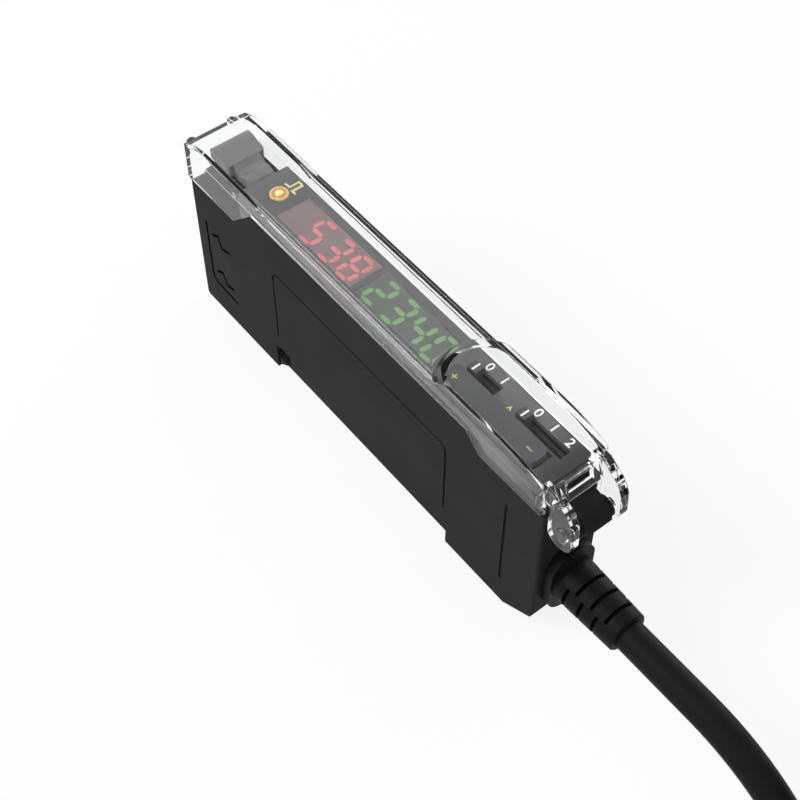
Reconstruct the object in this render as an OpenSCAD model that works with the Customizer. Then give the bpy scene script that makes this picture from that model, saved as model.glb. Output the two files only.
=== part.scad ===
// Slim fibre optic sensor amplifier with a hinged clear cover and a fixed cable.
// All sizes in millimetres. X runs from the fibre end to the cable end, Z is up from the feet.

/* [Housing] */
// Length from the fibre end to the cable end
body_l = 73.9; // [72:0.1:80]
// Width across the two side faces
body_w = 9.6; // [9.4:0.1:11]
// Height of the side walls under the cover
shoulder_z = 28.6; // [27.6:0.1:31]
// Thickness of the side walls
side_wall = 1.4; // [1.3:0.05:1.6]
// Thickness of the end walls
end_wall = 1.2; // [1:0.1:1.4]
// Rounding of the upright edges
edge_round = 0.4; // [0.2:0.1:0.7]
// Depth of the moulded grooves in the near side face
groove_depth = 0.2; // [0.1:0.05:0.4]

/* [Rail foot] */
// Width of the mounting rail
rail_w = 35; // [34.5:0.1:35.5]
// Play of the rail in its recess
rail_play = 0.5; // [0.2:0.1:1]
// Start of the rail recess from the fibre end
rail_x = 21.3; // [20.5:0.1:23]
// Depth of the rail recess
rail_depth = 2.6; // [2.2:0.1:3]
// Length of the sloping heel at the cable end
heel_run = 5.3; // [4:0.1:6.5]
// Height of the sloping heel at the cable end
heel_rise = 3.3; // [2.5:0.1:4.5]

/* [Cover] */
// Overhang of the cover beyond each side face
cover_over = 0.2; // [0.1:0.05:0.4]
// Thickness of the cover walls
cover_wall = 0.8; // [0.7:0.05:0.85]
// Thickness of the cover flaps below the shoulder
flap_wall = 0.45; // [0.4:0.05:0.6]
// Rise of the side rails above the shoulder
rail_rise = 3.15; // [3:0.05:3.6]
// Rise of the fibre end of the cover above the shoulder
nose_rise = 3.3; // [3.2:0.05:3.8]
// Rise of the sunk middle plate above the shoulder
plate_rise = 2.7; // [2.6:0.05:2.9]
// Rise of the dome above the shoulder
dome_rise = 4.4; // [4.2:0.05:5]
// Drop of the flap at the fibre end below the shoulder
flap_drop = 4.4; // [3.8:0.1:4.6]
// Drop of the flap at the cable end below the shoulder
tail_drop = 2.3; // [1.8:0.1:2.6]
// Gap between the cover edge and the side walls
seam = 0.15; // [0.1:0.01:0.25]

/* [Hinge] */
// Distance of the hinge axis beyond the cable end
hinge_out = 2.2; // [2.1:0.05:2.5]
// Drop of the hinge axis below the shoulder
hinge_drop = 3.9; // [3.7:0.05:4.1]
// Radius of the hinge pins
hinge_pin_r = 0.9; // [0.7:0.05:1]
// Running clearance round the hinge pins
hinge_play = 0.05; // [0.02:0.01:0.1]
// Radius of the round end of the cover ears
ear_r = 2; // [1.8:0.05:2.05]

/* [Fibre clamp] */
// Height of the upper fibre port
port_hi = 15.5; // [15:0.1:17]
// Height of the lower fibre port
port_lo = 7.9; // [7.5:0.1:8.5]
// Radius of the fibre ports
port_r = 1.1; // [0.8:0.05:1.2]
// Half width of the finger tab
tab_half = 3; // [2.6:0.1:3.1]
// Length of the finger tab
tab_l = 4.6; // [4:0.1:4.6]
// Rounding of the front of the finger tab
tab_round = 1.4; // [1:0.1:1.6]
// Lift of the clamp bar when the lever is open
clamp_lift = 0.6; // [0.3:0.1:0.8]

/* [Panel] */
// Thickness of the operating panel
panel_t = 0.75; // [0.7:0.05:0.9]
// Start of the panel from the fibre end
panel_x = 11.6; // [11.6:0.1:12]
// Share of the red window in the length of both windows
red_share = 0.496; // [0.4:0.002:0.6]
// Bar of panel between and beyond the windows
window_bar = 0.9; // [0.6:0.05:1.2]
// Half width of the display windows
window_half = 2.7; // [2.4:0.05:2.8]
// Radius of the output lamp
lamp_r = 1.3; // [1:0.05:1.4]

/* [Keys] */
// Length of the rocker
rocker_l = 16.9; // [15.5:0.1:17]
// Width of the rocker
rocker_w = 3.3; // [3:0.05:3.35]
// Height of the rocker above the panel
rocker_up = 0.95; // [0.8:0.05:1.05]
// Travel of the set key
set_travel = 0.3; // [0.2:0.02:0.32]
// Width of the slide knobs
knob_w = 1.5; // [1.2:0.1:1.5]
// Travel of the output slide
output_travel = 3.3; // [3:0.1:3.4]
// Travel of the mode slide
mode_travel = 6.2; // [5.8:0.1:6.2]

/* [Cable] */
// Height of the cable axis
cable_z = 10.2; // [10:0.1:11.5]
// Cable diameter
cable_d = 4.3; // [3.6:0.1:4.4]
// Boot diameter at the body
boot_d0 = 6.6; // [6:0.1:7]
// Boot diameter at its tip
boot_d1 = 5.8; // [5.4:0.1:6]
// Length of the boot beyond the cable end
boot_l = 11.5; // [11.2:0.05:13]
// Width of the slots across the boot
boot_slot = 0.5; // [0.4:0.05:0.6]
// Straight stretch of cable after the boot
cable_straight = 12.6; // [12.6:0.05:14]
// Length of the bend down to the floor
cable_bend_l = 27; // [26:0.5:32]
// Radius of the outermost turn at the ends of the oval coil
coil_r = 17.4; // [17.4:0.1:19]
// Straight length of the sides of the oval coil
coil_l = 51.5; // [46:0.5:54]

/* [Hidden] */
$fn = 48;
half = body_w / 2;
chamber = half - side_wall;
cover_half = half + cover_over;
cover_in = cover_half - cover_wall;
panel_half = chamber + 0.55;
skirt_y = (panel_half + chamber + 0.05) / 2;
neck_half = chamber - 0.2;
recess_l = rail_w + rail_play;
rail_x1 = rail_x + recess_l;
floor_z = rail_depth + 1.2;
step_l = shoulder_z - flap_drop - seam;
step_r = shoulder_z - tail_drop - seam;
flap_x0 = 10.9;
flap_x1 = flap_x0 + flap_drop + 0.25;
tail_x0 = body_l - 14.1;
tail_x1 = body_l - 11.5;
edge_z = shoulder_z + seam;
rails_z = shoulder_z + rail_rise;
nose_z = shoulder_z + nose_rise;
plate_z = shoulder_z + plate_rise;
dome_z = shoulder_z + dome_rise;
dome_x = body_l - 16.9;
dome_r0 = cover_half + 1.46;
dome_r1 = cover_half + 0.07;
dome_back = body_l - 8.6;
hinge_x = body_l + hinge_out;
hinge_z = shoulder_z - hinge_drop;
lug_half = 1.8;
lug_r = 3.25;
lug_x = hinge_x - 1.05;
barrel_half = 2.95;
ear_in = 3.2;
ear_out = cover_in + 0.25;
overall_l = lug_x + lug_r;
panel_z = shoulder_z + panel_t;
panel_x1 = body_l - 1.7;
rocker_x = panel_x1 - 3.1 - rocker_l / 2;
lamp_x = panel_x + 3.6;
red_x = panel_x + 6.65;
keys_x0 = rocker_x - rocker_l / 2 - 0.2;
windows_l = keys_x0 - 2 * window_bar - red_x;
red_x1 = red_x + windows_l * red_share;
green_x = red_x1 + window_bar;
green_x1 = keys_x0 - window_bar;
board_t = 1;
board_z = shoulder_z - 4.4;
board_top = board_z + board_t;
board_x0 = panel_x + 2.9;
board_x1 = body_l - 3.2;
lens_t = 0.38;
display_top = panel_z - lens_t - 0.02;
tact_x = rocker_l * 0.3935;
rocker_y = -1.75;
rocker_z0 = shoulder_z + 0.3;
rocker_z1 = panel_z + rocker_up;
rocker_axis_z = shoulder_z + 0.4;
key_gap = set_travel + 0.05;
key_z = rocker_z0 - 0.55 - key_gap;
slide_y = 1.25;
output_x = keys_x0 + 2.2;
mode_x = panel_x1 - 2.9 - mode_travel;
knob_top = panel_z + 0.75;
switch_top = board_top + 2.3;
lever_x = 9.6;
lever_z = shoulder_z - 1.4;
lever_pin_r = 0.5;
arm_r = 2.3;
arm_a = 35;
tab_x0 = 7.75 - tab_l;
tab_z0 = shoulder_z - 0.25;
tab_z1 = shoulder_z + 2.3;
block_x0 = 1.4;
block_x1 = 14.2;
neck_x1 = 11.4;
main_x0 = block_x1 + 3.8;
main_x1 = body_l - 7.9;
main_y1 = 2 - chamber;
main_z1 = board_z - 1.2;
neck_z = shoulder_z - 0.4;
port_l = 10.4;
bar_half = neck_half - 1;
bar_x0 = 5.6;
bar_x1 = 7.6;
bar_top = shoulder_z - 2;
cable_r = cable_d / 2;
boot_x1 = body_l + boot_l;
bend_x0 = boot_x1 + cable_straight;
bend_x1 = bend_x0 + cable_bend_l;
bend_drop = (cable_z - cable_r) / 2;
bend_a = 2 * atan(bend_drop / (cable_bend_l / 2));
bend_r = cable_bend_l / 2 / sin(bend_a);
run_x1 = bend_x1 + 0.6;
run_n = 12;
coil_lift = 0.6;
coil_pitch = cable_d + 0.1;
coil_turns_wide = 2;
coil_turns_high = 5;
coil_in = coil_r - (coil_turns_wide - 1) * coil_pitch - cable_r;
coil_out = coil_r + cable_r;
coil_h = (coil_turns_high - 1) * coil_pitch + cable_d;
coil_x = run_x1 + sqrt(coil_out * coil_out - (coil_r - cable_r) * (coil_r - cable_r)) + 0.15;
tail_r = coil_r - coil_pitch;
tail_x = coil_x + coil_l;
tail_a = 155;
lead_r = 0.5;
lead_fan = [9, 12, 16, 22];
lead_turn = [80, 65, 52, 40];
black = [0.1, 0.1, 0.1];
dark = [0.17, 0.17, 0.17];
grey = [0.36, 0.36, 0.36];
clear = [0.9, 0.93, 0.95, 0.35];
steel = [0.7, 0.7, 0.72];
green_board = [0.08, 0.3, 0.16];

// Shared frame: the origin is under the middle of the amplifier
module placed() translate([-overall_l / 2, 0, 0]) children();

// Side view outline carried across the width from y0 to y1
module side(y0, y1) translate([0, y1, 0]) rotate([90, 0, 0]) linear_extrude(y1 - y0) children();

// Plan outline carried up from z0 to z1
module plan(z0, z1) translate([0, 0, z0]) linear_extrude(z1 - z0) children();

// End view outline carried along from x0 to x1
module across(x0, x1) translate([x0, 0, 0]) rotate([90, 0, 90]) linear_extrude(x1 - x0) children();

// Rectangle between two corners
module rect(x0, y0, x1, y1) translate([x0, y0]) square([x1 - x0, y1 - y0]);

// Box between two corners
module block(x0, y0, z0, x1, y1, z1) translate([x0, y0, z0]) cube([x1 - x0, y1 - y0, z1 - z0]);

// Rectangle with round corners
module round_rect(x0, y0, x1, y1, r) {
    rect(x0, y0 + r, x1, y1 - r);
    rect(x0 + r, y0, x1 - r, y1);
    for (x = [x0 + r, x1 - r], y = [y0 + r, y1 - r]) translate([x, y]) circle(r);
}

// Cylinder along X
module rod_x(x0, x1, r) translate([x0, 0, 0]) rotate([0, 90, 0]) cylinder(r = r, h = x1 - x0);

// Cylinder along Y at a point of the side view
module rod_y(x, z, y0, y1, r) translate([x, y1, z]) rotate([90, 0, 0]) cylinder(r = r, h = y1 - y0);

// Outline of the body seen from the side
module body_outline() difference() {
    polygon([[0, 0.7], [0.7, 0], [body_l - heel_run, 0], [body_l - 0.3, heel_rise - 0.3],
        [body_l, heel_rise + 0.4], [body_l, step_r], [tail_x1, step_r], [tail_x0, shoulder_z],
        [flap_x1, shoulder_z], [flap_x0, step_l], [0, step_l]]);
    rect(rail_x, -1, rail_x1, rail_depth);
    rect(rail_x - 2.7, -1, rail_x - 1.9, rail_depth + 2.2);
    polygon([[rail_x - 1.95, -1], [rail_x - 1.95, 1.2], [rail_x, rail_depth], [rail_x + 0.1, -1]]);
}

// Block with round upright edges that trims the body
module upright_edges() plan(-1, shoulder_z + 1) round_rect(0, -half, body_l, half, edge_round);

// Shadowed hollow above the rail claw in a side face
module claw_hollow(y0, y1) side(y0, y1)
    rect(rail_x - 1.9, rail_depth + 0.2, rail_x + 0.6, rail_depth + 2.6);

// Frame line round the bare label place
module label_line() difference() {
    round_rect(rail_x - 2.1, 5.6, rail_x1 - 0.5, 21.2, 1.4);
    round_rect(rail_x - 1.8, 3, rail_x1 - 0.8, 20.9, 1.1);
    rect(rail_x - 3, 5, rail_x1, 7.4);
}

// Hinge lug and pins at the cable end
module hinge_lug() {
    side(-lug_half, lug_half) {
        intersection() {
            translate([lug_x, hinge_z + 0.1]) circle(lug_r);
            rect(body_l - 0.4, hinge_z + 0.5, body_l + 10, shoulder_z + 1);
        }
        rect(body_l - 0.4, hinge_z - 1.4, hinge_x, hinge_z + 0.6);
    }
    rod_y(hinge_x, hinge_z, -barrel_half, barrel_half, 1.5);
    rod_y(hinge_x, hinge_z, -cover_in + 0.2, cover_in - 0.2, hinge_pin_r);
}

module housing() color(dark) placed() {
    difference() {
        intersection() {
            side(-half, chamber) body_outline();
            upright_edges();
        }
        side(-chamber, chamber + 1) rect(end_wall, floor_z, body_l - end_wall, shoulder_z + 1);
        across(-1, end_wall + 1) rect(-2.2, port_lo - 2.6, 2.2, port_hi + 2.6);
        translate([0, 0, cable_z]) rod_x(body_l - end_wall - 1, body_l + 1, 2.65);
        claw_hollow(-half - 1, -half + 0.8);
        side(-half - 1, -half + groove_depth) label_line();
        side(-half - 1, -half + groove_depth) rect(body_l - 6.55, 4.9, body_l - 6, 21.4);
    }
    side(-chamber - 0.2, -chamber + 0.8) rect(16.4, board_z - 1, board_x1 - 0.4, board_z);
    side(-panel_half - 0.1, chamber) polygon([[body_l - 2.7, step_r - 0.5], [body_l, step_r - 0.5],
        [body_l, shoulder_z - 1.4], [body_l - 1.4, shoulder_z], [body_l - 2.7, shoulder_z]]);
    side(chamber, panel_half + 0.1) polygon([[body_l - 2.7, step_r], [body_l, step_r],
        [body_l, shoulder_z - 1.4], [body_l - 1.4, shoulder_z], [body_l - 2.7, shoulder_z]]);
    side(-3, 3) polygon([[rail_x - 1.9, rail_depth + 0.1], [rail_x - 1.9, 0.7], [rail_x + 0.8, 1],
        [rail_x + 0.8, 1.35], [rail_x, 1.4], [rail_x, rail_depth + 0.1]]);
    side(-3, 3) polygon([[rail_x1 + 0.1, rail_depth], [rail_x1 + 0.1, 0.4], [rail_x1 - 0.8, 1],
        [rail_x1 - 0.8, 1.35], [rail_x1, 1.4], [rail_x1, rail_depth]]);
    hinge_lug();
}

module side_cover() color(dark) placed() {
    difference() {
        intersection() {
            side(chamber, half) body_outline();
            upright_edges();
        }
        claw_hollow(half - 0.8, half + 1);
        side(half - groove_depth, half + 1) rect(body_l - 6.55, 4.9, body_l - 6, 21.4);
    }
    side(chamber - 0.8, chamber + 0.2) rect(16.4, board_z - 1, board_x1 - 0.4, board_z);
}

module top_panel() color(grey) placed() {
    difference() {
        plan(shoulder_z, panel_z) round_rect(panel_x, -panel_half, panel_x1, panel_half, 0.3);
        plan(shoulder_z - 1, panel_z + 1) {
            translate([lamp_x, 0]) circle(lamp_r + 0.1);
            rect(red_x, -window_half, red_x1, window_half);
            rect(green_x, -window_half, green_x1, window_half);
            rect(rocker_x - rocker_l / 2 - 0.2, rocker_y - rocker_w / 2 - 0.15,
                rocker_x + rocker_l / 2 + 0.2, rocker_y + rocker_w / 2 + 0.15);
            rect(output_x - knob_w / 2 - 0.1, slide_y - 0.85,
                output_x + output_travel + knob_w / 2 + 0.1, slide_y + 0.85);
            rect(mode_x - knob_w / 2 - 0.1, slide_y - 0.85,
                mode_x + mode_travel + knob_w / 2 + 0.1, slide_y + 0.85);
        }
    }
    for (s = [-1, 1]) side(s * skirt_y - 0.25, s * skirt_y + 0.25) {
        polygon([[panel_x, step_l + panel_x - flap_x0 + 0.1], [flap_x1 - 0.1, shoulder_z + 0.1],
            [panel_x, shoulder_z + 0.1]]);
        polygon([[tail_x0 + 0.1, shoulder_z + 0.1], [tail_x1 + 0.1, step_r + 0.05],
            [body_l - 2.75, step_r + 0.05], [body_l - 2.75, shoulder_z + 0.1]]);
    }
}

// Lens between two places along the panel
module lens(x0, x1)
    block(x0 + 0.02, -window_half + 0.02, panel_z - lens_t, x1 - 0.02, window_half - 0.02, panel_z);

// Display module under a lens between two places along the panel
module digits(x0, x1)
    block(x0 + 0.1, -window_half + 0.1, board_top, x1 - 0.1, window_half - 0.1, display_top);

module red_window() color([0.55, 0.2, 0.2]) placed() lens(red_x, red_x1);

module green_window() color([0.22, 0.4, 0.24]) placed() lens(green_x, green_x1);

module red_display() color([0.3, 0.12, 0.12]) placed() digits(red_x, red_x1);

module green_display() color([0.14, 0.25, 0.15]) placed() digits(green_x, green_x1);

module output_led() color([1, 0.62, 0.2]) placed() translate([lamp_x, 0, 0]) {
    translate([0, 0, board_top]) cylinder(r = lamp_r, h = panel_z - board_top - 0.2);
    translate([0, 0, panel_z - 0.2]) cylinder(r1 = lamp_r, r2 = lamp_r - 0.35, h = 0.35);
}

// Place along the main board at a share of its length
function along_board(f) = main_x0 + f * (main_x1 - main_x0);

// Place up the main board at a share of its height
function up_board(f) = floor_z + f * (main_z1 - floor_z);

module display_board() color(green_board) placed()
    block(board_x0, -neck_half + 0.1, board_z, board_x1, neck_half - 0.1, board_top);

module main_board() color(green_board) placed()
    block(main_x0, main_y1 - board_t, floor_z, main_x1, main_y1, main_z1);

module board_header() color([0.08, 0.08, 0.08]) placed()
    block(along_board(0.42), main_y1, main_z1 - 3.8, along_board(0.7), main_y1 + 2.2, board_z);

// Chip on the main board between two shares of its length and height
module chip(x0, z0, x1, z1, t)
    block(along_board(x0), main_y1, up_board(z0), along_board(x1), main_y1 + t, up_board(z1));

module board_components() color([0.06, 0.06, 0.06]) placed() {
    chip(0.08, 0.38, 0.25, 0.79, 1.6);
    chip(0.5, 0.27, 0.67, 0.58, 1.4);
    chip(0.31, 0.11, 0.4, 0.27, 2.8);
    chip(0.77, 0.52, 0.875, 0.79, 3);
}

module core_wires() color([0.35, 0.22, 0.12]) placed()
    for (z = [-1.65, -0.55, 0.55, 1.65]) translate([0, main_y1 + 0.5, cable_z + z])
        rod_x(body_l - 12.9, body_l - 2.9, 0.5);

module fibre_block() color(black) placed() difference() {
    union() {
        side(-neck_half, neck_half) polygon([[block_x0, floor_z], [block_x1, floor_z],
            [block_x1, board_z - 0.3], [neck_x1, board_z - 0.3], [neck_x1, neck_z],
            [3.9, neck_z], [2, shoulder_z - 2.6], [2, step_l], [block_x0, step_l - 0.6]]);
        side(-2.1, 2.1) rect(0.15, port_lo - 2.5, block_x0 + 0.5, port_hi + 2.5);
    }
    for (z = [port_lo, port_hi]) translate([0, 0, z]) {
        rod_x(-1, 0.15 + port_l, port_r);
        translate([0.1, 0, 0]) rotate([0, 90, 0]) cylinder(r1 = port_r + 0.5, r2 = port_r, h = 0.5);
        rod_x(0.1 + port_l, block_x1 + 1, 1.55);
    }
    block(bar_x0 - 0.1, -bar_half - 0.1, port_lo - 2.4, bar_x1 + 0.1, bar_half + 0.1, shoulder_z);
    block(1, -bar_half - 0.1, shoulder_z - 2.9, neck_x1 + 1, bar_half + 0.1, shoulder_z + 1);
    rod_y(lever_x, lever_z, -half, half, lever_pin_r);
}

module clamp_bar() color([0.75, 0.75, 0.7]) placed() difference() {
    block(bar_x0, -bar_half, port_lo - 2.2, bar_x1, bar_half, bar_top);
    for (z = [port_lo, port_hi]) translate([0, 0, z - clamp_lift / 2 + clamp_lift])
        rod_x(bar_x0 - 1, bar_x1 + 1, port_r + 0.05 + clamp_lift);
}

module emitter_led() color([0.85, 0.3, 0.3]) placed() translate([0, 0, port_hi]) {
    rod_x(0.15 + port_l, block_x1 + 0.6, 1.52);
    rod_x(block_x1 + 0.4, block_x1 + 1.4, 1.9);
}

module receiver_diode() color([0.15, 0.15, 0.2]) placed() translate([0, 0, port_lo]) {
    rod_x(0.15 + port_l, block_x1 + 0.6, 1.52);
    rod_x(block_x1 + 0.4, block_x1 + 1.4, 1.9);
}

module lever_pin() color(steel) placed()
    rod_y(lever_x, lever_z, -neck_half, neck_half, lever_pin_r);

// Side view of the finger tab with its round front and falling top
module tab_outline() difference() {
    rect(tab_x0, tab_z0, tab_x0 + tab_l, tab_z1);
    difference() {
        rect(tab_x0 - 1, tab_z1 - tab_round, tab_x0 + tab_round, tab_z1 + 1);
        translate([tab_x0 + tab_round, tab_z1 - tab_round]) circle(tab_round);
    }
    polygon([[tab_x0 + tab_round + 0.1, tab_z1], [tab_x0 + tab_l + 0.1, tab_z1 - 0.7],
        [tab_x0 + tab_l + 0.1, tab_z1 + 1], [tab_x0 + tab_round + 0.1, tab_z1 + 1]]);
}

// Side view of the lever arm, from the tab down to the clamp bar and round the pin
module arm_outline() {
    polygon(concat([[tab_x0 + tab_l - 0.3, tab_z1 - 0.6], [tab_x0 + 1, tab_z1 - 1.2],
        [tab_x0 + 1, tab_z0 + 0.1], [bar_x0 + 0.2, bar_top + 0.15], [bar_x1 - 0.1, bar_top + 0.15],
        [lever_x - 0.7, lever_z - 0.9], [lever_x, lever_z]],
        [for (a = [arm_a:5:75]) [lever_x + arm_r * cos(a), lever_z + arm_r * sin(a)]],
        [[lever_x - 0.4, lever_z + 2.05], [lever_x - 1.1, lever_z + 2.3],
        [tab_x0 + tab_l + 0.05, tab_z1 - 0.75]]));
    translate([lever_x, lever_z]) circle(1.2);
}

module clamp_lever() color([0.5, 0.5, 0.5]) placed() {
    intersection() {
        side(-tab_half, tab_half) tab_outline();
        plan(tab_z0 - 1, tab_z1 + 1) round_rect(tab_x0, -tab_half, tab_x0 + tab_l, tab_half, 0.4);
    }
    difference() {
        side(-bar_half + 0.1, bar_half - 0.1) arm_outline();
        rod_y(lever_x, lever_z, -half, half, lever_pin_r + 0.05);
    }
}

module tact_switches() color([0.12, 0.12, 0.13]) placed()
    for (x = [-tact_x, 0, tact_x]) translate([rocker_x + x, rocker_y, board_top]) {
        translate([-1.3, -1.3, 0]) cube([2.6, 2.6, 1.4]);
        translate([0, 0, 1.3]) cylinder(r = 0.6, h = key_z - board_top - 1.3);
    }

// Slide switch body with a groove for the slider foot
module switch_body(x, travel) difference() {
    block(x - 1.4, slide_y - 1.1, board_top, x + travel + 1.4, slide_y + 1.1, switch_top);
    block(x - 0.85, slide_y - 0.6, switch_top - 1, x + travel + 0.85, slide_y + 0.6, switch_top + 1);
}

// Slide knob with its foot in the switch
module slide_knob(x) {
    block(x - 0.7, slide_y - 0.5, switch_top - 0.9, x + 0.7, slide_y + 0.5, shoulder_z + 0.2);
    block(x - knob_w / 2, slide_y - 0.75, shoulder_z + 0.1, x + knob_w / 2, slide_y + 0.75, knob_top);
}

module output_switch_body() color(black) placed() switch_body(output_x, output_travel);

module mode_switch_body() color(black) placed() switch_body(mode_x, mode_travel);

module output_slider() color(black) placed() slide_knob(output_x);

module mode_slider() color(black) placed() slide_knob(mode_x);

module set_plunger() color([0.2, 0.2, 0.2]) placed() translate([rocker_x, rocker_y, 0]) difference() {
    block(-1.1, -0.8, rocker_z0 - 0.55, 1.1, 0.8, rocker_axis_z + 0.6);
    rod_y(0, rocker_axis_z, -2, 2, 0.35);
}

module rocker_button() color(black) placed() translate([rocker_x, rocker_y, 0]) {
    difference() {
        plan(rocker_z0, rocker_z1) round_rect(-rocker_l / 2, -rocker_w / 2, rocker_l / 2, rocker_w / 2, 1.2);
        plan(rocker_z0 - 1, rocker_z1 - 0.45) round_rect(-rocker_l / 2 + 0.6, -rocker_w / 2 + 0.55,
            rocker_l / 2 - 0.6, rocker_w / 2 - 0.55, 0.7);
    }
    rod_y(0, rocker_axis_z, -rocker_w / 2 + 0.4, rocker_w / 2 - 0.4, 0.3);
}

// Side outline of the cover, drawn smaller by t for its inner space
module cover_outline(t) {
    intersection() {
        rect(t, step_l - 1, dome_x, nose_z - t);
        union() {
            translate([6, nose_z - 12.3]) circle(12.3 - t, $fn = 160);
            rect(6, step_l - 2, dome_x + 1, nose_z);
        }
    }
}

// Rounded cable end of the dome, drawn smaller by t for its inner space
module dome_outline(t) intersection() {
    rect(dome_x, step_l - 1, body_l - 0.65, dome_z - t);
    union() {
        translate([dome_back, dome_z - 20.4]) circle(20.4 - t, $fn = 240);
        rect(dome_x - 1, step_l - 2, dome_back, dome_z);
    }
}

// Round front of the dome, drawn smaller by t for its inner space
module dome_front(t, z0) translate([dome_x, 0, z0])
    cylinder(r1 = dome_r0 - t, r2 = dome_r1 - t, h = dome_z - t - z0, $fn = 96);

// Lower edge of the cover: everything below is cut away
module cover_lower() polygon([[-1, 0], [-1, step_l + seam], [flap_x0, step_l + seam], [flap_x1, edge_z],
    [tail_x0, edge_z], [tail_x1, step_r + seam], [body_l + 1, step_r + seam], [body_l + 1, 0]]);

// Outline of a hinge ear of the cover
module ear_outline() {
    translate([hinge_x, hinge_z]) circle(ear_r);
    polygon([[hinge_x - ear_r, hinge_z], [hinge_x + ear_r, hinge_z], [hinge_x + 1.75, hinge_z + 3.2],
        [hinge_x + 0.85, hinge_z + 4.9], [body_l + 0.3, rails_z - 0.3],
        [body_l - 1.6, rails_z - 0.5], [body_l - 1.6, edge_z + 0.25], [hinge_x - ear_r, edge_z + 0.1]]);
}

module dust_cover() color(clear) placed() {
    difference() {
        union() {
            difference() {
                side(-cover_half, cover_half) cover_outline(0);
                side(-cover_half - 1, cover_half + 1) polygon([[14.9, nose_z + 1], [14.9, nose_z],
                    [16, rails_z], [dome_x + 1, rails_z], [dome_x + 1, nose_z + 1]]);
                side(-cover_in + 0.05, cover_in - 0.05) polygon([[14.3, nose_z + 1], [14.3, nose_z],
                    [16.9, plate_z], [dome_x + 1, plate_z], [dome_x + 1, nose_z + 1]]);
            }
            intersection() {
                dome_front(0, plate_z);
                block(dome_x - 10, -cover_half, plate_z, dome_x + 0.1, cover_half, dome_z);
            }
            side(-cover_half, cover_half) dome_outline(0);
        }
        side(-cover_in, cover_in) intersection() {
            cover_outline(cover_wall);
            union() {
                rect(0, 0, 13.9, nose_z);
                polygon([[13.9, 0], [13.9, nose_z], [14.1, nose_z - cover_wall],
                    [16.7, plate_z - cover_wall], [dome_x + 1, plate_z - cover_wall], [dome_x + 1, 0]]);
            }
        }
        intersection() {
            dome_front(cover_wall, plate_z - cover_wall - 0.1);
            block(dome_x - 10, -cover_in, 0, dome_x + 0.1, cover_in, dome_z);
        }
        side(-cover_in, cover_in) dome_outline(cover_wall);
        side(-cover_in, cover_in) rect(body_l - 2, 0, body_l + 1, edge_z);
        side(-cover_half + flap_wall, cover_half - flap_wall) rect(cover_wall, 0, body_l - 1.9, edge_z);
        side(-cover_half - 1, cover_half + 1) cover_lower();
    }
    difference() {
        union() {
            side(-cover_in - 0.1, cover_in + 0.1) polygon([[body_l - 1, rails_z - 0.3],
                [body_l - 0.2, rails_z - 0.4], [body_l + 0.2, rails_z - 1.4], [body_l - 0.6, rails_z - 1.4]]);
            side(-ear_in - 0.1, ear_in + 0.1) polygon([[body_l - 0.9, rails_z - 0.3],
                [body_l - 0.15, rails_z - 0.05], [body_l + 0.85, edge_z - 0.35],
                [body_l + 0.05, edge_z - 0.35]]);
            for (s = [-1, 1]) side(s * (ear_in + ear_out) / 2 - (ear_out - ear_in) / 2,
                s * (ear_in + ear_out) / 2 + (ear_out - ear_in) / 2) ear_outline();
        }
        across(body_l - 3, body_l + 4) rect(-1.95, edge_z + 0.2, 1.95, edge_z + 2.1);
        rod_y(hinge_x, hinge_z, -cover_in + 0.1, cover_in - 0.1, hinge_pin_r + hinge_play);
    }
}

// Half profile of the boot, from its axis outwards
module boot_profile() polygon([[0, 0], [boot_d0 / 2, 0], [boot_d1 / 2, boot_l - 1.6],
    [boot_d1 / 2 - 0.2, boot_l - 1.4], [0, boot_l - 1.4]]);

// Pair of opposite slots in the boot, turned by a degrees from the two side faces
module boot_slots(x, a, turn) for (k = [0, 180]) translate([body_l + x - boot_slot / 2, 0, 0])
    rotate([a + k, 0, 0]) rotate([0, 90, 0]) rotate([0, 0, 90 - turn / 2])
        rotate_extrude(angle = turn) rect(cable_r + 0.1, 0, 5, boot_slot);

module cable_boot() color(black) placed() {
    across(body_l, body_l + 1.4) {
        for (z = [-2.3, 2.3]) translate([0, cable_z + z]) circle(3.6);
        rect(-3.6, cable_z - 2.3, 3.6, cable_z + 2.3);
    }
    translate([0, 0, cable_z]) {
        rod_x(body_l - end_wall - 0.1, body_l + 0.1, 2.6);
        rod_x(body_l - end_wall - 1.4, body_l - end_wall - 0.02, 3.1);
        difference() {
            translate([body_l + 1.4, 0, 0]) rotate([0, 90, 0]) rotate_extrude() boot_profile();
            for (x = [3.35, 5.8, 8.25]) {
                boot_slots(x, 0, 80);
                boot_slots(x + 1.2, 90, 96);
            }
        }
    }
}

// Ring of points round the cable at a station [x, z, slope]
function cable_ring(s) = [for (j = [0:run_n - 1]) let (t = 360 * j / run_n)
    [s[0] + cable_r * cos(t) * sin(s[2]), cable_r * sin(t), s[1] + cable_r * cos(t) * cos(s[2])]];

module cable_run() color(black) placed() {
    down = [for (k = [0:6]) let (a = bend_a * k / 6)
        [bend_x0 + bend_r * sin(a), cable_z - bend_r * (1 - cos(a)), a]];
    level = [for (k = [5:-1:0]) let (a = bend_a * k / 6)
        [bend_x1 - bend_r * sin(a), cable_r + bend_r * (1 - cos(a)), a]];
    stations = concat([[boot_x1, cable_z, 0]], down, level, [[run_x1, cable_r, 0]]);
    last = len(stations) - 1;
    points = [for (s = stations) each cable_ring(s)];
    sides = [for (i = [0:last - 1], j = [0:run_n - 1]) let (k = (j + 1) % run_n)
        [i * run_n + j, i * run_n + k, (i + 1) * run_n + k, (i + 1) * run_n + j]];
    ends = [[for (j = [run_n - 1:-1:0]) j], [for (j = [0:run_n - 1]) last * run_n + j]];
    polyhedron(points, concat(sides, ends));
}

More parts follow.
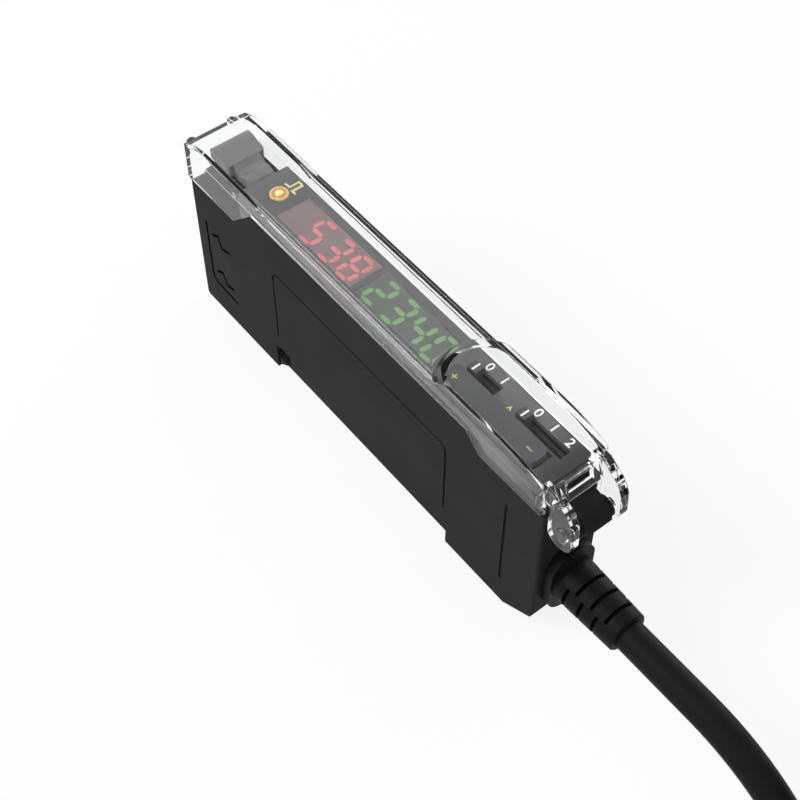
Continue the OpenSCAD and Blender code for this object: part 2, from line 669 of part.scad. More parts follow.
// Cross-section of the coil from its middle line outwards
module coil_section() round_rect(coil_in, coil_lift, coil_out, coil_lift + coil_h, cable_r);

module cable_coil() color(black) placed() translate([coil_x, coil_r, 0]) {
    rotate([0, 0, 90]) rotate_extrude(angle = 180) coil_section();
    translate([coil_l, 0, 0]) rotate([0, 0, -90]) rotate_extrude(angle = 180) coil_section();
    for (a = [0, 1]) mirror([0, a, 0]) across(0, coil_l) coil_section();
    translate([tail_x - coil_x, 0, 0]) rotate([0, 0, 95]) rotate_extrude(angle = tail_a - 95)
        translate([tail_r, coil_lift + cable_r]) circle(cable_r - 0.05, $fn = 24);
}

module coil_tie() color([0.85, 0.85, 0.82]) placed() translate([coil_x + coil_l / 2, coil_r, 0])
    mirror([0, 1, 0]) {
        across(-2.2, 2.2) difference() {
            round_rect(coil_in - 0.7, 0, coil_out + 0.7, coil_lift + coil_h + 0.7, cable_r + 0.5);
            round_rect(coil_in - 0.1, 0.5, coil_out + 0.1, coil_lift + coil_h + 0.1, cable_r);
        }
        block(-2.6, coil_in + 1, coil_lift + coil_h + 0.4, 2.6, coil_in + 5, coil_lift + coil_h + 3.2);
    }

module wire_leads() color([0.35, 0.22, 0.12]) placed()
    translate([tail_x + tail_r * cos(tail_a), coil_r + tail_r * sin(tail_a), coil_lift + cable_r])
        rotate([0, 0, tail_a]) for (k = [0:3]) {
            drop = asin((coil_lift + cable_r - lead_r) / (lead_fan[k] * sin(lead_turn[k])));
            rotate([-drop, 0, 0]) translate([(k - 1.5) * 2.04 * lead_r - lead_fan[k], 0, 0])
                rotate([0, 0, 0.4]) rotate_extrude(angle = lead_turn[k])
                    translate([lead_fan[k], 0]) circle(lead_r, $fn = 12);
        }

housing();
side_cover();
top_panel();
red_window();
green_window();
red_display();
green_display();
output_led();
display_board();
main_board();
board_header();
board_components();
core_wires();
fibre_block();
clamp_bar();
emitter_led();
receiver_diode();
lever_pin();
clamp_lever();
tact_switches();
output_switch_body();
mode_switch_body();
output_slider();
mode_slider();
set_plunger();
rocker_button();
dust_cover();
cable_boot();
cable_run();
cable_coil();
coil_tie();
wire_leads();
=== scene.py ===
import bpy
import math
from mathutils import Matrix, Vector


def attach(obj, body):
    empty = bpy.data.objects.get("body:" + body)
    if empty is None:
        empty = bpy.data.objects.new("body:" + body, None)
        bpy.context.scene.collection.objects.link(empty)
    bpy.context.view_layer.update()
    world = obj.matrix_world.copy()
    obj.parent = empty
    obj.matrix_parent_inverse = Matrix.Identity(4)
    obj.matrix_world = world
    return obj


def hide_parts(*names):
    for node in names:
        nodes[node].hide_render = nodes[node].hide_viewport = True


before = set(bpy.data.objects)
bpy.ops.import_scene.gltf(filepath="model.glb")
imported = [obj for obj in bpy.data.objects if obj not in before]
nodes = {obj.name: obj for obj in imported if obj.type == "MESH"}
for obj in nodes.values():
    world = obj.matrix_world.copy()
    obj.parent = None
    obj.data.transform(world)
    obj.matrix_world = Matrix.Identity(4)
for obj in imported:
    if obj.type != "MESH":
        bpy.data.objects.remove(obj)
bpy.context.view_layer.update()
scene = bpy.context.scene

# Lengths are in millimetres unless a comment says otherwise, and x is measured from the fibre end of the body
MM = 0.001
ORIGIN_X = 39.15


# Point of the drawing as a point of the shared frame, in metres
def at(x, y, z):
    return Vector(((x - ORIGIN_X) * MM, y * MM, z * MM))


def add_object(name, data):
    obj = bpy.data.objects.new(name, data)
    scene.collection.objects.link(obj)
    return obj


# Camera, in metres: solved from the body edges of the photograph
CAMERA_PLACE = Vector((0.09707, -0.07532, 0.17122))
CAMERA_RIGHT = Vector((0.6206, 0.7842, 0.0))
CAMERA_UP = Vector((-0.6251, 0.4947, 0.6040))
CAMERA_BACK = Vector((0.4736, -0.3748, 0.7971))
CAMERA_LENS = 67.3
SENSOR_W = 36

camera_data = bpy.data.cameras.new("camera")
camera_data.lens = CAMERA_LENS
camera_data.sensor_width = SENSOR_W
camera = add_object("camera", camera_data)
camera_axes = Matrix((CAMERA_RIGHT, CAMERA_UP, CAMERA_BACK)).transposed().to_4x4()
camera.matrix_world = Matrix.Translation(CAMERA_PLACE) @ camera_axes
scene.camera = camera

# Cable route: out of the boot, down to the floor, into an oval coil of ten turns
CABLE_D = 4.3
CABLE_R = CABLE_D / 2
CABLE_Z = 10.2
BOOT_X1 = 85.4
STRAIGHT_L = 12.6
BEND_L = 27.0
BEND_X0 = BOOT_X1 + STRAIGHT_L
BEND_X1 = BEND_X0 + BEND_L
BEND_A = 2 * math.atan((CABLE_Z - CABLE_R) / BEND_L)
BEND_R = BEND_L / 2 / math.sin(BEND_A)
COIL_R = 17.4
COIL_L = 51.5
COIL_LIFT = 0.6
COIL_GAP = 0.1
COIL_LAYERS = 5
COIL_PITCH = CABLE_D + COIL_GAP
COIL_CLEAR = 0.75
COIL_X = BEND_X1 + COIL_CLEAR + math.sqrt((COIL_R + CABLE_R) ** 2 - (COIL_R - CABLE_R) ** 2)
HUMP_H = 1.9
TAIL_R = COIL_R - COIL_PITCH
TAIL_X = COIL_X + COIL_L
TAIL_A = math.radians(155)
QUARTER = math.pi / 2

# Numbers of steps in each stretch of the route
STRAIGHT_STEPS = 6
BEND_STEPS = 8
RISE_STEPS = 4
RUN_STEPS = 8
TURN_STEPS = 12
TAIL_STEPS = 17


# Share that starts and ends slowly
def smooth(t):
    return t * t * (3 - 2 * t)


# Places of the turns, as radius and height: up the outer stack, then down the inner one
def coil_places():
    heights = [COIL_LIFT + CABLE_R + COIL_PITCH * k for k in range(COIL_LAYERS)]
    return [(COIL_R, z) for z in heights] + [(TAIL_R, z) for z in heights[::-1]]


# Points on one end of the coil, without the last unless it is asked for
def coil_end(x, r, z, start, sweep, steps, last=False):
    pts = []
    for k in range(steps + last):
        w = start + sweep * k / steps
        pts.append((x + r * math.cos(w), COIL_R + r * math.sin(w), z))
    return pts


# Points of the far run, which climbs to the next turn, with a hump where it crosses to the inner stack
def far_run(r, z, r1, z1):
    pts = []
    for k in range(TURN_STEPS):
        t = smooth(k / TURN_STEPS)
        hump = HUMP_H * math.sin(math.pi * t) if r1 != r else 0
        x = COIL_X + COIL_L * (1 - k / TURN_STEPS)
        pts.append((x, COIL_R + r + (r1 - r) * t, z + (z1 - z) * t + hump))
    return pts


def cable_route():
    pts = []
    for k in range(STRAIGHT_STEPS):
        pts.append((BOOT_X1 + (BEND_X0 - BOOT_X1) * k / STRAIGHT_STEPS, 0, CABLE_Z))
    for k in range(BEND_STEPS + 1):
        a = BEND_A * k / BEND_STEPS
        pts.append((BEND_X0 + BEND_R * math.sin(a), 0, CABLE_Z - BEND_R * (1 - math.cos(a))))
    for k in reversed(range(BEND_STEPS)):
        a = BEND_A * k / BEND_STEPS
        pts.append((BEND_X1 - BEND_R * math.sin(a), 0, CABLE_R + BEND_R * (1 - math.cos(a))))
    for k in range(1, RISE_STEPS):
        t = k / RISE_STEPS
        pts.append((BEND_X1 + (COIL_X - BEND_X1) * t, 0, CABLE_R + COIL_LIFT * smooth(t)))
    places = coil_places()
    for (r, z), (r1, z1) in zip(places, places[1:] + [(None, None)]):
        for k in range(RUN_STEPS):
            pts.append((COIL_X + COIL_L * k / RUN_STEPS, COIL_R - r, z))
        if r1 is None:
            pts += coil_end(TAIL_X, r, z, -QUARTER, TAIL_A + QUARTER, TAIL_STEPS, True)
        else:
            pts += coil_end(TAIL_X, r, z, -QUARTER, math.pi, TURN_STEPS)
            pts += far_run(r, z, r1, z1)
            pts += coil_end(COIL_X, r1, z1, QUARTER, math.pi, TURN_STEPS)
    return [at(*p) for p in pts]


# Visible piece that rides on a body
def add_piece(name, data, material, body):
    data.materials.clear()
    data.materials.append(material)
    obj = add_object(name, data)
    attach(obj, body)
    return obj


def add_mesh(name, shape, material, body, smooth_faces=False):
    verts, faces = shape
    mesh = bpy.data.meshes.new(name)
    mesh.from_pydata([tuple(v) for v in verts], [], faces)
    mesh.update()
    for f in mesh.polygons:
        f.use_smooth = smooth_faces
    return add_piece(name, mesh, material, body)


# Flat outlines with a little thickness, each point put in its place by a function of (u, v, height)
def plate(outlines, place, thick):
    verts, faces = [], []
    for ring in outlines:
        area = sum(a[0] * b[1] - b[0] * a[1] for a, b in zip(ring, ring[1:] + ring[:1]))
        if area < 0:
            ring = ring[::-1]
        n, base = len(ring), len(verts)
        verts += [place(u, v, 0) for u, v in ring] + [place(u, v, thick) for u, v in ring]
        faces.append([base + k for k in reversed(range(n))])
        faces.append([base + n + k for k in range(n)])
        for k in range(n):
            m = (k + 1) % n
            faces.append([base + k, base + m, base + n + m, base + n + k])
    return verts, faces


# Outline of a stroke of even width along a line of points, with mitred corners
def stroke(points, width):
    sharpest = 0.3
    left, right = [], []
    for k, p in enumerate(points):
        p = Vector(p)
        before = (p - Vector(points[k - 1])).normalized() if k > 0 else None
        after = (Vector(points[k + 1]) - p).normalized() if k < len(points) - 1 else None
        way = ((before or after) + (after or before)).normalized()
        side = Vector((-way.y, way.x))
        lean = side.dot(Vector((-(after or before).y, (after or before).x)))
        reach = side * (width / 2 / max(lean, sharpest))
        left.append(tuple(p + reach))
        right.append(tuple(p - reach))
    return left + right[::-1]


# Faces that join rings of points one after the other and close both ends
def ring_faces(rings, sides):
    faces = []
    for k in range(rings - 1):
        for j in range(sides):
            m = (j + 1) % sides
            faces.append([k * sides + j, k * sides + m, (k + 1) * sides + m, (k + 1) * sides + j])
    faces.append(list(reversed(range(sides))))
    faces.append([(rings - 1) * sides + j for j in range(sides)])
    return faces


# Tube along a line of points, all in metres
def tube(points, radius, sides=12):
    verts = []
    normal = None
    for k, p in enumerate(points):
        way = (points[min(k + 1, len(points) - 1)] - points[max(k - 1, 0)]).normalized()
        if normal is None:
            normal = way.orthogonal().normalized()
        normal = (normal - way * normal.dot(way)).normalized()
        other = way.cross(normal)
        for j in range(sides):
            a = 2 * math.pi * j / sides
            verts.append(p + normal * (radius * math.cos(a)) + other * (radius * math.sin(a)))
    return verts, ring_faces(len(points), sides)


# Round body from a half profile of (radius, height) about an upright axis
def revolve(profile, cx, cy, sides=48):
    verts = []
    for r, z in profile:
        for j in range(sides):
            a = 2 * math.pi * j / sides
            verts.append(at(cx + r * math.cos(a), cy + r * math.sin(a), z))
    return verts, ring_faces(len(profile), sides)


# Sockets of the Mix node for colours
MIX_FACTOR = 0
MIX_LOW = 6
MIX_HIGH = 7
MIX_RESULT = 2

# Moulded grain: share of the grain count for broad changes, change and least of roughness, depth in metres
BROAD_SHARE = 0.03
GLOSS_CHANGE = 0.06
LEAST_ROUGH = 0.02
GRAIN_DEPTH = 0.00004

# Samples of the softened edges
EDGE_SAMPLES = 4
CLEAR_EDGE_SAMPLES = 8

# Share of blue in the panel's grey
PANEL_BLUE = 1.01

# Clear plastic: grains in a metre of its gloss, and how far its roughness rises
CLEAR_GRAINS = 220
CLEAR_CHANGE = 0.015

# Printed marks: grains in a metre
PRINT_GRAINS = 1500


def new_material(name):
    m = bpy.data.materials.new(name)
    m.use_nodes = True
    return m, m.node_tree, m.node_tree.nodes["Principled BSDF"]


def object_coords(tree):
    return tree.nodes.new("ShaderNodeTexCoord").outputs["Object"]


# Noise on the object's own coordinates; grains is the number of grains in a metre
def noise(tree, grains, detail=3):
    cloud = tree.nodes.new("ShaderNodeTexNoise")
    cloud.inputs["Scale"].default_value = grains
    cloud.inputs["Detail"].default_value = detail
    tree.links.new(object_coords(tree), cloud.inputs["Vector"])
    return cloud.outputs["Fac"]


def map_range(tree, value, low, high, from_low=0.3, from_high=0.7):
    node = tree.nodes.new("ShaderNodeMapRange")
    node.inputs["From Min"].default_value = from_low
    node.inputs["From Max"].default_value = from_high
    node.inputs["To Min"].default_value = low
    node.inputs["To Max"].default_value = high
    tree.links.new(value, node.inputs["Value"])
    return node.outputs["Result"]


def mix_colour(tree, factor, low, high):
    node = tree.nodes.new("ShaderNodeMix")
    node.data_type = "RGBA"
    node.inputs[MIX_LOW].default_value = [*low, 1]
    node.inputs[MIX_HIGH].default_value = [*high, 1]
    tree.links.new(factor, node.inputs[MIX_FACTOR])
    return node.outputs[MIX_RESULT]


# Normal that rounds the edges by a radius
def soft_edges(tree, radius, samples):
    node = tree.nodes.new("ShaderNodeBevel")
    node.samples = samples
    node.inputs["Radius"].default_value = radius * MM
    return node.outputs["Normal"]


# Moulded plastic or metal: fine grain, slight changes of shade and gloss, softened edges
def plastic(name, colour, roughness=0.5, grains=3500, relief=0.1, spread=0.1, specular=0.5, edge=0.12,
        metallic=0):
    m, tree, shader = new_material(name)
    broad = noise(tree, grains * BROAD_SHARE, detail=4)
    shade = mix_colour(tree, broad, [c * (1 - spread) for c in colour], [c * (1 + spread) for c in colour])
    tree.links.new(shade, shader.inputs["Base Color"])
    smoothest = max(LEAST_ROUGH, roughness - GLOSS_CHANGE)
    gloss = map_range(tree, broad, smoothest, min(1, roughness + GLOSS_CHANGE))
    tree.links.new(gloss, shader.inputs["Roughness"])
    bump = tree.nodes.new("ShaderNodeBump")
    bump.inputs["Strength"].default_value = relief
    bump.inputs["Distance"].default_value = GRAIN_DEPTH
    tree.links.new(noise(tree, grains), bump.inputs["Height"])
    if edge:
        tree.links.new(soft_edges(tree, edge, EDGE_SAMPLES), bump.inputs["Normal"])
    tree.links.new(bump.outputs["Normal"], shader.inputs["Normal"])
    shader.inputs["Specular IOR Level"].default_value = specular
    shader.inputs["Metallic"].default_value = metallic
    return m


# Panel plastic with a darker field towards the cable end, between two places along the panel
def panel_plastic(name, light, dark, x0, x1):
    m = plastic(name, (light, light, light * PANEL_BLUE), roughness=0.6, specular=0.2)
    tree = m.node_tree
    shade = tree.nodes["Principled BSDF"].inputs["Base Color"]
    parts = tree.nodes.new("ShaderNodeSeparateXYZ")
    tree.links.new(object_coords(tree), parts.inputs[0])
    share = map_range(tree, parts.outputs["X"], 1.0, dark / light, at(x0, 0, 0).x, at(x1, 0, 0).x)
    scaled = tree.nodes.new("ShaderNodeVectorMath")
    scaled.operation = "SCALE"
    tree.links.new(shade.links[0].from_socket, scaled.inputs[0])
    tree.links.new(share, scaled.inputs["Scale"])
    tree.links.new(scaled.outputs[0], shade)
    return m


# Printed or lit mark: emitted light plus a little grain in the shade; on the digits the light is their own,
# on printed marks it is a painted glow
def glow(name, colour, strength, spread=0.08):
    m, tree, shader = new_material(name)
    dim = [c * (1 - spread) for c in colour]
    shade = mix_colour(tree, noise(tree, PRINT_GRAINS), dim, colour)
    tree.links.new(shade, shader.inputs["Base Color"])
    tree.links.new(shade, shader.inputs["Emission Color"])
    shader.inputs["Emission Strength"].default_value = strength
    shader.inputs["Roughness"].default_value = 0.5
    return m


# Clear or tinted moulding
def clear_plastic(name, colour, ior, through=1.0, roughness=0.0, edge=0.0):
    m, tree, shader = new_material(name)
    shader.inputs["Base Color"].default_value = [*colour, 1]
    shader.inputs["Transmission Weight"].default_value = through
    shader.inputs["IOR"].default_value = ior
    gloss = map_range(tree, noise(tree, CLEAR_GRAINS, detail=2), roughness, roughness + CLEAR_CHANGE)
    tree.links.new(gloss, shader.inputs["Roughness"])
    if edge:
        tree.links.new(soft_edges(tree, edge, CLEAR_EDGE_SAMPLES), shader.inputs["Normal"])
    return m


# Lamp: bright yellow middle, darker ring, amber rim, as colours from the middle (0) to the rim (1)
LAMP_X = 15.2
LAMP_R = 1.35
LAMP_STRENGTH = 0.6
LAMP_COLOURS = [
    (0.0, (0.88, 0.58, 0.22)), (0.36, (0.80, 0.50, 0.17)), (0.5, (0.38, 0.20, 0.08)),
    (0.7, (0.35, 0.19, 0.09)), (0.86, (0.54, 0.35, 0.17)), (1.0, (0.50, 0.32, 0.16)),
]


def lamp_material(name):
    m, tree, shader = new_material(name)
    flat = tree.nodes.new("ShaderNodeVectorMath")
    flat.operation = "MULTIPLY"
    flat.inputs[1].default_value = (1, 1, 0)
    tree.links.new(object_coords(tree), flat.inputs[0])
    away = tree.nodes.new("ShaderNodeVectorMath")
    away.operation = "DISTANCE"
    away.inputs[1].default_value = (*at(LAMP_X, 0, 0).xy, 0)
    tree.links.new(flat.outputs[0], away.inputs[0])
    ramp = tree.nodes.new("ShaderNodeValToRGB")
    share = map_range(tree, away.outputs["Value"], 0, 1, 0, LAMP_R * MM)
    tree.links.new(share, ramp.inputs["Fac"])
    stops = ramp.color_ramp.elements
    while len(stops) < len(LAMP_COLOURS):
        stops.new(0.5)
    for stop, (place, colour) in zip(stops, LAMP_COLOURS):
        stop.position = place
        stop.color = (*colour, 1)
    tree.links.new(ramp.outputs["Color"], shader.inputs["Base Color"])
    tree.links.new(ramp.outputs["Color"], shader.inputs["Emission Color"])
    shader.inputs["Emission Strength"].default_value = LAMP_STRENGTH
    shader.inputs["Roughness"].default_value = 0.15
    return m


# Materials
shell = plastic("shell_plastic", (0.0155, 0.0155, 0.016), roughness=0.6, specular=0.045)
black = plastic("black_plastic", (0.0065, 0.0065, 0.007), specular=0.06)
panel = panel_plastic("panel_plastic", light=0.137, dark=0.035, x0=66, x1=71)
key_black = plastic("key_plastic", (0.077, 0.077, 0.078), specular=0.3)
lever_grey = plastic("lever_plastic", (0.185, 0.185, 0.185), specular=0.3)
board = plastic("board_mask", (0.01, 0.10, 0.045), roughness=0.35, edge=0)
sheath = plastic("cable_sheath", (0.0075, 0.0075, 0.008), roughness=0.55, grains=1800, relief=0.25,
    specular=0.07, edge=0)
steel = plastic("ground_steel", (0.5, 0.5, 0.52), roughness=0.3, grains=6000, relief=0.15,
    edge=0, metallic=1)
nylon = plastic("tie_nylon", (0.72, 0.72, 0.68), roughness=0.4, grains=2500, spread=0.05)
tin = plastic("tinned_strand", (0.62, 0.62, 0.60), roughness=0.35, grains=5000, relief=0.3,
    edge=0, metallic=1)
core = plastic("core_insulation", (0.14, 0.07, 0.03), roughness=0.4, edge=0)
display_red = plastic("display_red", (0.05, 0.035, 0.035), specular=0.1, edge=0)
display_green = plastic("display_green", (0.03, 0.036, 0.03), specular=0.1, edge=0)
# Near-black with no gloss: painted shade of the grooves of the side signs
painted_groove_shade = plastic("painted_groove_shade", (0.0008, 0.0008, 0.0008), roughness=0.8, specular=0.0, edge=0)
red_lens = clear_plastic("red_lens", (0.78, 0.64, 0.64), ior=1.3, through=0.75, roughness=0.02)
green_lens = clear_plastic("green_lens", (0.60, 0.635, 0.60), ior=1.3, through=0.8, roughness=0.02)
diode_clear = clear_plastic("diode_clear", (0.9, 0.35, 0.3), ior=1.45, through=0.6, roughness=0.05)
cover_clear = clear_plastic("clear_cover", (0.985, 0.99, 0.99), ior=1.23, edge=0.19)
lamp = lamp_material("lamp_amber")
red_glow = glow("digit_red", (0.80, 0.13, 0.15), strength=0.87)
green_glow = glow("digit_green", (0.22, 0.54, 0.13), strength=0.82)
# Printed marks: their emission is a faint painted glow that brightens the print
yellow_print_painted_glow = glow("print_yellow_painted_glow", (0.70, 0.65, 0.32), strength=0.15)
key_print_painted_glow = glow("print_key_painted_glow", (0.50, 0.47, 0.14), strength=0.15)
white_print_painted_glow = glow("print_white_painted_glow", (0.85, 0.85, 0.85), strength=0.25)

paint = {
    "housing": shell, "side_cover": shell, "top_panel": panel, "red_window": red_lens,
    "green_window": green_lens, "red_display": display_red, "green_display": display_green,
    "output_led": lamp, "display_board": board, "main_board": board, "board_header": black,
    "board_components": black, "core_wires": core, "fibre_block": black, "clamp_bar": nylon,
    "emitter_led": diode_clear, "receiver_diode": black, "lever_pin": steel,
    "clamp_lever": lever_grey, "tact_switches": black, "output_switch_body": key_black,
    "mode_switch_body": key_black, "output_slider": key_black, "mode_slider": key_black,
    "set_plunger": black, "rocker_button": key_black, "dust_cover": cover_clear,
    "cable_boot": black, "coil_tie": nylon,
}
for name, material in paint.items():
    slots = nodes[name].data.materials
    slots.clear()
    slots.append(material)

# Cable
route = cable_route()
curve = bpy.data.curves.new("cable", "CURVE")
curve.dimensions = "3D"
curve.bevel_depth = CABLE_R * MM
curve.bevel_resolution = 6
curve.use_fill_caps = True
spline = curve.splines.new("POLY")
spline.points.add(len(route) - 1)
for point, place in zip(spline.points, route):
    point.co = (*place, 1)
cable = add_piece("cable", curve, sheath, "base")
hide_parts("cable_run", "cable_coil")

# Four cores that fan out of the end of the cable, each with a bare tip: bend radius, sweep in degrees, colour
LEADS = [
    (9, 80, (0.16, 0.065, 0.025)), (12, 65, (0.02, 0.06, 0.30)),
    (16, 52, (0.012, 0.012, 0.012)), (22, 40, (0.55, 0.55, 0.53)),
]
LEAD_R = 0.5
LEAD_PITCH = 2.04 * LEAD_R
TIP_R = 0.33
TUCK_A = 0.02
LEAD_STEPS = 24
BARE_STEP = 18

tail_x = TAIL_X + TAIL_R * math.cos(TAIL_A)
tail_y = COIL_R + TAIL_R * math.sin(TAIL_A)
tail_end = Vector((tail_x, tail_y, COIL_LIFT + CABLE_R))
out = Vector((math.cos(TAIL_A), math.sin(TAIL_A), 0))
ahead = Vector((-math.sin(TAIL_A), math.cos(TAIL_A), 0))
for k, (r, sweep_deg, colour) in enumerate(LEADS):
    sweep = math.radians(sweep_deg)
    drop = math.asin((COIL_LIFT + CABLE_R - LEAD_R) / (r * math.sin(sweep)))
    down = ahead * math.cos(drop) - Vector((0, 0, 1)) * math.sin(drop)
    middle = tail_end + out * ((k - (len(LEADS) - 1) / 2) * LEAD_PITCH - r)
    line = []
    for j in range(LEAD_STEPS + 1):
        a = -TUCK_A + (sweep + TUCK_A) * j / LEAD_STEPS
        line.append(at(*(middle + out * (r * math.cos(a)) + down * (r * math.sin(a)))))
    number = str(k + 1)
    insulation = plastic("core_" + number, colour, roughness=0.4, edge=0)
    covered = tube(line[:BARE_STEP + 1], LEAD_R * MM)
    bare = tube(line[BARE_STEP:], TIP_R * MM)
    add_mesh("lead_" + number, covered, insulation, "base", True)
    add_mesh("lead_tip_" + number, bare, tin, "base", True)
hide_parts("wire_leads")

# Heights of the faces that carry marks, the near side face, and the thickness of the marks
PANEL_Z = 29.35
DIGIT_Z = 28.95
ROCKER_Z = 30.3
KNOB_Z = 30.1
NEAR_Y = -4.8
PRINT_T = 0.02
THIN_T = 0.015


# Placing function for a level face at a height
def level(z):
    return lambda u, v, h: at(u, v, z + h)


on_panel = level(PANEL_Z)
on_display = level(DIGIT_Z)
on_rocker = level(ROCKER_Z)
on_knob = level(KNOB_Z)


def on_side(u, v, h):
    return at(u, NEAR_Y - h, v)


# Mark drawn as strokes of one width
def add_mark(name, lines, width, place, material, body, thick=PRINT_T):
    outlines = [stroke(line, width) for line in lines]
    add_mesh(name, plate(outlines, place, thick), material, body)


# Seven-segment digits on the display modules: half width, three heights, half bar width, gap, slant
DIGIT_X = 1.16
DIGIT_TOP = 2.14
DIGIT_MID = -0.06
DIGIT_LOW = -2.24
BAR_W = 0.34
BAR_GAP = 0.17
SLANT = 0.05
BARS = {
    "a": ((-DIGIT_X, DIGIT_TOP), (DIGIT_X, DIGIT_TOP)), "b": ((DIGIT_X, DIGIT_TOP), (DIGIT_X, DIGIT_MID)),
    "c": ((DIGIT_X, DIGIT_MID), (DIGIT_X, DIGIT_LOW)), "d": ((-DIGIT_X, DIGIT_LOW), (DIGIT_X, DIGIT_LOW)),
    "e": ((-DIGIT_X, DIGIT_MID), (-DIGIT_X, DIGIT_LOW)), "f": ((-DIGIT_X, DIGIT_TOP), (-DIGIT_X, DIGIT_MID)),
    "g": ((-DIGIT_X, DIGIT_MID), (DIGIT_X, DIGIT_MID)),
}
SEGMENTS = {"0": "abcdef", "2": "abged", "3": "abgcd", "4": "fgbc", "5": "afgcd", "8": "abcdefg"}
DIGITS = (
    ("digits_red", red_glow, (("5", 23.85), ("3", 27.85), ("8", 31.75))),
    ("digits_green", green_glow, (("2", 37.15), ("3", 41.05), ("4", 44.9), ("0", 48.8))),
)


def digit_bars(digit, cx):
    bars = []
    for name in SEGMENTS[digit]:
        p, q = (Vector(end) for end in BARS[name])
        way = (q - p).normalized()
        p += way * BAR_GAP
        q -= way * BAR_GAP
        along = way * BAR_W
        aside = Vector((-way.y, way.x)) * BAR_W
        ring = [p, p + along - aside, q - along - aside, q, q - along + aside, p + along + aside]
        bars.append([(cx + v.x + SLANT * v.y, v.y) for v in ring])
    return bars


for name, material, cells in DIGITS:
    bars = [bar for digit, cx in cells for bar in digit_bars(digit, cx)]
    add_mesh(name, plate(bars, on_display, THIN_T), material, "base")

# Lamp lens with its rim and middle dome, as radius and height above the panel
LENS = [
    (1.33, -0.05), (1.33, 0.12), (1.27, 0.2), (1.12, 0.22), (1.0, 0.17),
    (0.62, 0.16), (0.55, 0.26), (0.42, 0.36), (0.22, 0.42), (0.02, 0.44),
]
lens = revolve([(r, PANEL_Z + h) for r, h in LENS], LAMP_X, 0)
add_mesh("lamp_lens", lens, lamp, "base", True)

# Small moulded nubs on the fibre end of the cover, as radius and height
NUB = [(0.8, 30.2), (0.85, 30.6), (0.82, 30.9), (0.68, 31.1), (0.4, 31.22), (0.02, 31.26)]
NUB_X = 0.9
NUB_YS = (-4.1, 2.5)
for k, y in enumerate(NUB_YS):
    add_mesh("cover_nub_" + str(k + 1), revolve(NUB, NUB_X, y), cover_clear, "cover", True)

# Output symbol beside the lamp
WAVE = [(14.05, 1.75), (15.0, 1.85), (14.98, 3.4), (15.95, 3.3), (15.95, 1.6), (16.65, 1.68)]
WAVE_W = 0.28
add_mark("wave_mark", [WAVE], WAVE_W, on_panel, yellow_print_painted_glow, "base")

# Plain numerals beside the slide switches, as figure and place along the panel
NUMERALS = (("0", 54.9), ("1", 57.6), ("0", 63.7), ("1", 66.5), ("2", 69.2))
NUMERAL_Y = 2.35
NUMERAL_LIFT = 0.011
NUMERAL_SIZE = 1.85
NUMERAL_BOLD = 0.03
NUMERAL_T = 0.01

for k, (figure, x) in enumerate(NUMERALS):
    font = bpy.data.curves.new("numeral", "FONT")
    font.body = figure
    font.size = NUMERAL_SIZE * MM
    font.offset = NUMERAL_BOLD * MM
    font.align_x = "CENTER"
    font.extrude = NUMERAL_T * MM
    text = add_object("numeral", font)
    text.location = at(x, NUMERAL_Y, PANEL_Z + NUMERAL_LIFT)
    bpy.context.view_layer.update()
    graph = bpy.context.evaluated_depsgraph_get()
    mesh = bpy.data.meshes.new_from_object(text.evaluated_get(graph))
    mesh.transform(text.matrix_world)
    bpy.data.objects.remove(text)
    add_piece("numeral_" + str(k + 1), mesh, white_print_painted_glow, "base")

# Marks on the rocker and the panel
KEY_W = 0.16
ARROW_W = 0.18
PLUS = [[(53.4, -1.85), (54.3, -1.85)], [(53.85, -2.3), (53.85, -1.4)]]
MINUS = [(66.9, -1.85), (67.8, -1.85)]
ARROW = [(60.75, 0.35), (61.05, 0.95), (61.35, 0.35)]
add_mark("plus_mark", PLUS, KEY_W, on_rocker, key_print_painted_glow, "rocker")
add_mark("minus_mark", [MINUS], KEY_W, on_rocker, key_print_painted_glow, "rocker")
add_mark("set_mark", [ARROW], ARROW_W, on_panel, yellow_print_painted_glow, "base")

# Pointers on the slide knobs
POINTER_W = 0.24
OUTPUT_LINE = [(54.2, 0.6), (54.2, 1.9)]
MODE_LINE = [(63.1, 0.6), (63.1, 1.9)]
add_mark("output_pointer", [OUTPUT_LINE], POINTER_W, on_knob, white_print_painted_glow, "output_knob")
add_mark("mode_pointer", [MODE_LINE], POINTER_W, on_knob, white_print_painted_glow, "mode_knob")

# Fibre path signs on the near side face, as lines of (x, z), drawn as near-black strips that paint the shade
# inside their grooves
SIGN_W = 0.42
SIGNS = [
    [(2.8, 17.5), (2.8, 6.6), (3.1, 5.8), (3.9, 5.3), (9.0, 5.05)],
    [(4.0, 15.7), (5.6, 16.5), (6.3, 14.6), (8.25, 15.2)],
    [(4.1, 8.1), (5.6, 8.9), (6.4, 6.9), (8.3, 7.5)],
]
add_mark("side_signs", SIGNS, SIGN_W, on_side, painted_groove_shade, "base", THIN_T)

# Strength of the sky as a light, and share of white in the floor where it is seen
SKY_LIGHT = 0.6
FLOOR_WHITE = 0.86


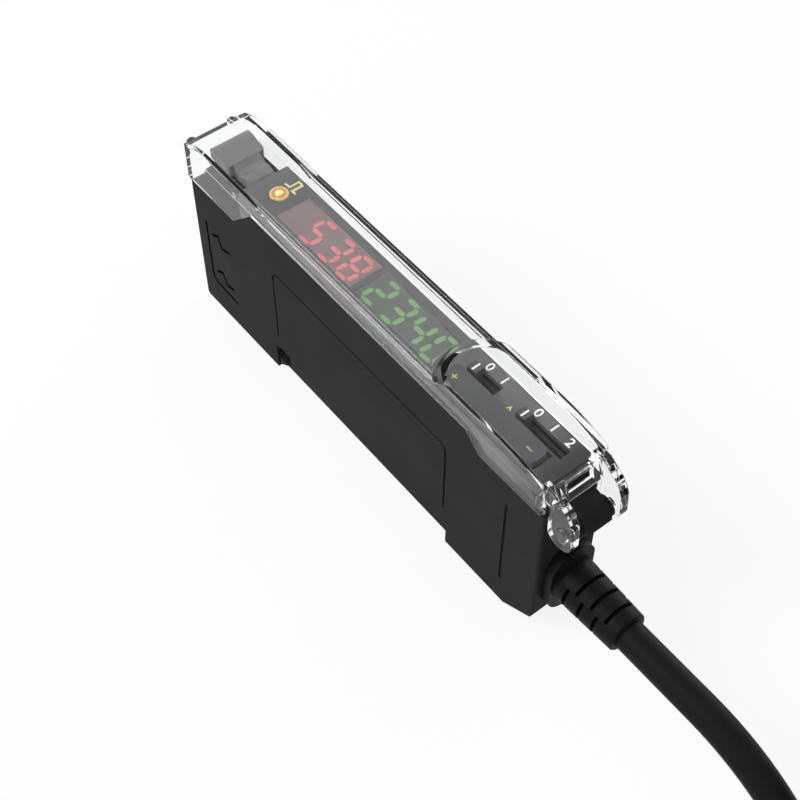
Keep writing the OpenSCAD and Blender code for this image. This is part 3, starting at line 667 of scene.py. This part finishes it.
# Value that is high for what the camera sees, also in gloss and through clear parts, and low for the rest
def seen_white(tree, low, high):
    path = tree.nodes.new("ShaderNodeLightPath")
    total = path.outputs["Is Camera Ray"]
    for kind in ("Is Glossy Ray", "Is Transmission Ray"):
        either = tree.nodes.new("ShaderNodeMath")
        either.operation = "MAXIMUM"
        tree.links.new(total, either.inputs[0])
        tree.links.new(path.outputs[kind], either.inputs[1])
        total = either.outputs[0]
    return map_range(tree, total, low, high, 0, 1)


# World
world = bpy.data.worlds.new("world")
scene.world = world
world.use_nodes = True
sky = world.node_tree.nodes["Background"]
sky.inputs["Color"].default_value = (1, 1, 1, 1)
world.node_tree.links.new(seen_white(world.node_tree, SKY_LIGHT, 1), sky.inputs["Strength"])

# Floor, in metres: white where it is seen, with a soft shadow
FLOOR_HALF = 3
corners = [(-FLOOR_HALF, -FLOOR_HALF, 0), (FLOOR_HALF, -FLOOR_HALF, 0), (FLOOR_HALF, FLOOR_HALF, 0),
    (-FLOOR_HALF, FLOOR_HALF, 0)]
floor_mesh = bpy.data.meshes.new("floor")
floor_mesh.from_pydata(corners, [], [[0, 1, 2, 3]])
floor = add_object("floor", floor_mesh)
floor_material, tree, shader = new_material("floor_white")
shader.inputs["Base Color"].default_value = (0.9, 0.9, 0.9, 1)
shader.inputs["Roughness"].default_value = 0.9
shader.inputs["Specular IOR Level"].default_value = 0
white = tree.nodes.new("ShaderNodeEmission")
white.inputs["Strength"].default_value = 1.0
blend = tree.nodes.new("ShaderNodeMixShader")
tree.links.new(seen_white(tree, 0, FLOOR_WHITE), blend.inputs[0])
tree.links.new(shader.outputs["BSDF"], blend.inputs[1])
tree.links.new(white.outputs["Emission"], blend.inputs[2])
tree.links.new(blend.outputs["Shader"], tree.nodes["Material Output"].inputs["Surface"])
floor_mesh.materials.append(floor_material)

# Lights, in metres, aimed at the middle of the body
LIGHT_TARGET = Vector((0, 0, 0.015))


def area_light(name, place, size, watts):
    data = bpy.data.lights.new(name, "AREA")
    data.shape = "DISK"
    data.size = size
    data.energy = watts
    light = add_object(name, data)
    light.location = place
    light.rotation_euler = (LIGHT_TARGET - Vector(place)).to_track_quat("-Z", "Y").to_euler()


area_light("key", place=(-0.25, -0.45, 0.45), size=0.35, watts=3.0)
area_light("fill", place=(-0.1, 0.55, 0.12), size=0.3, watts=1.3)

scene.view_settings.view_transform = "Standard"
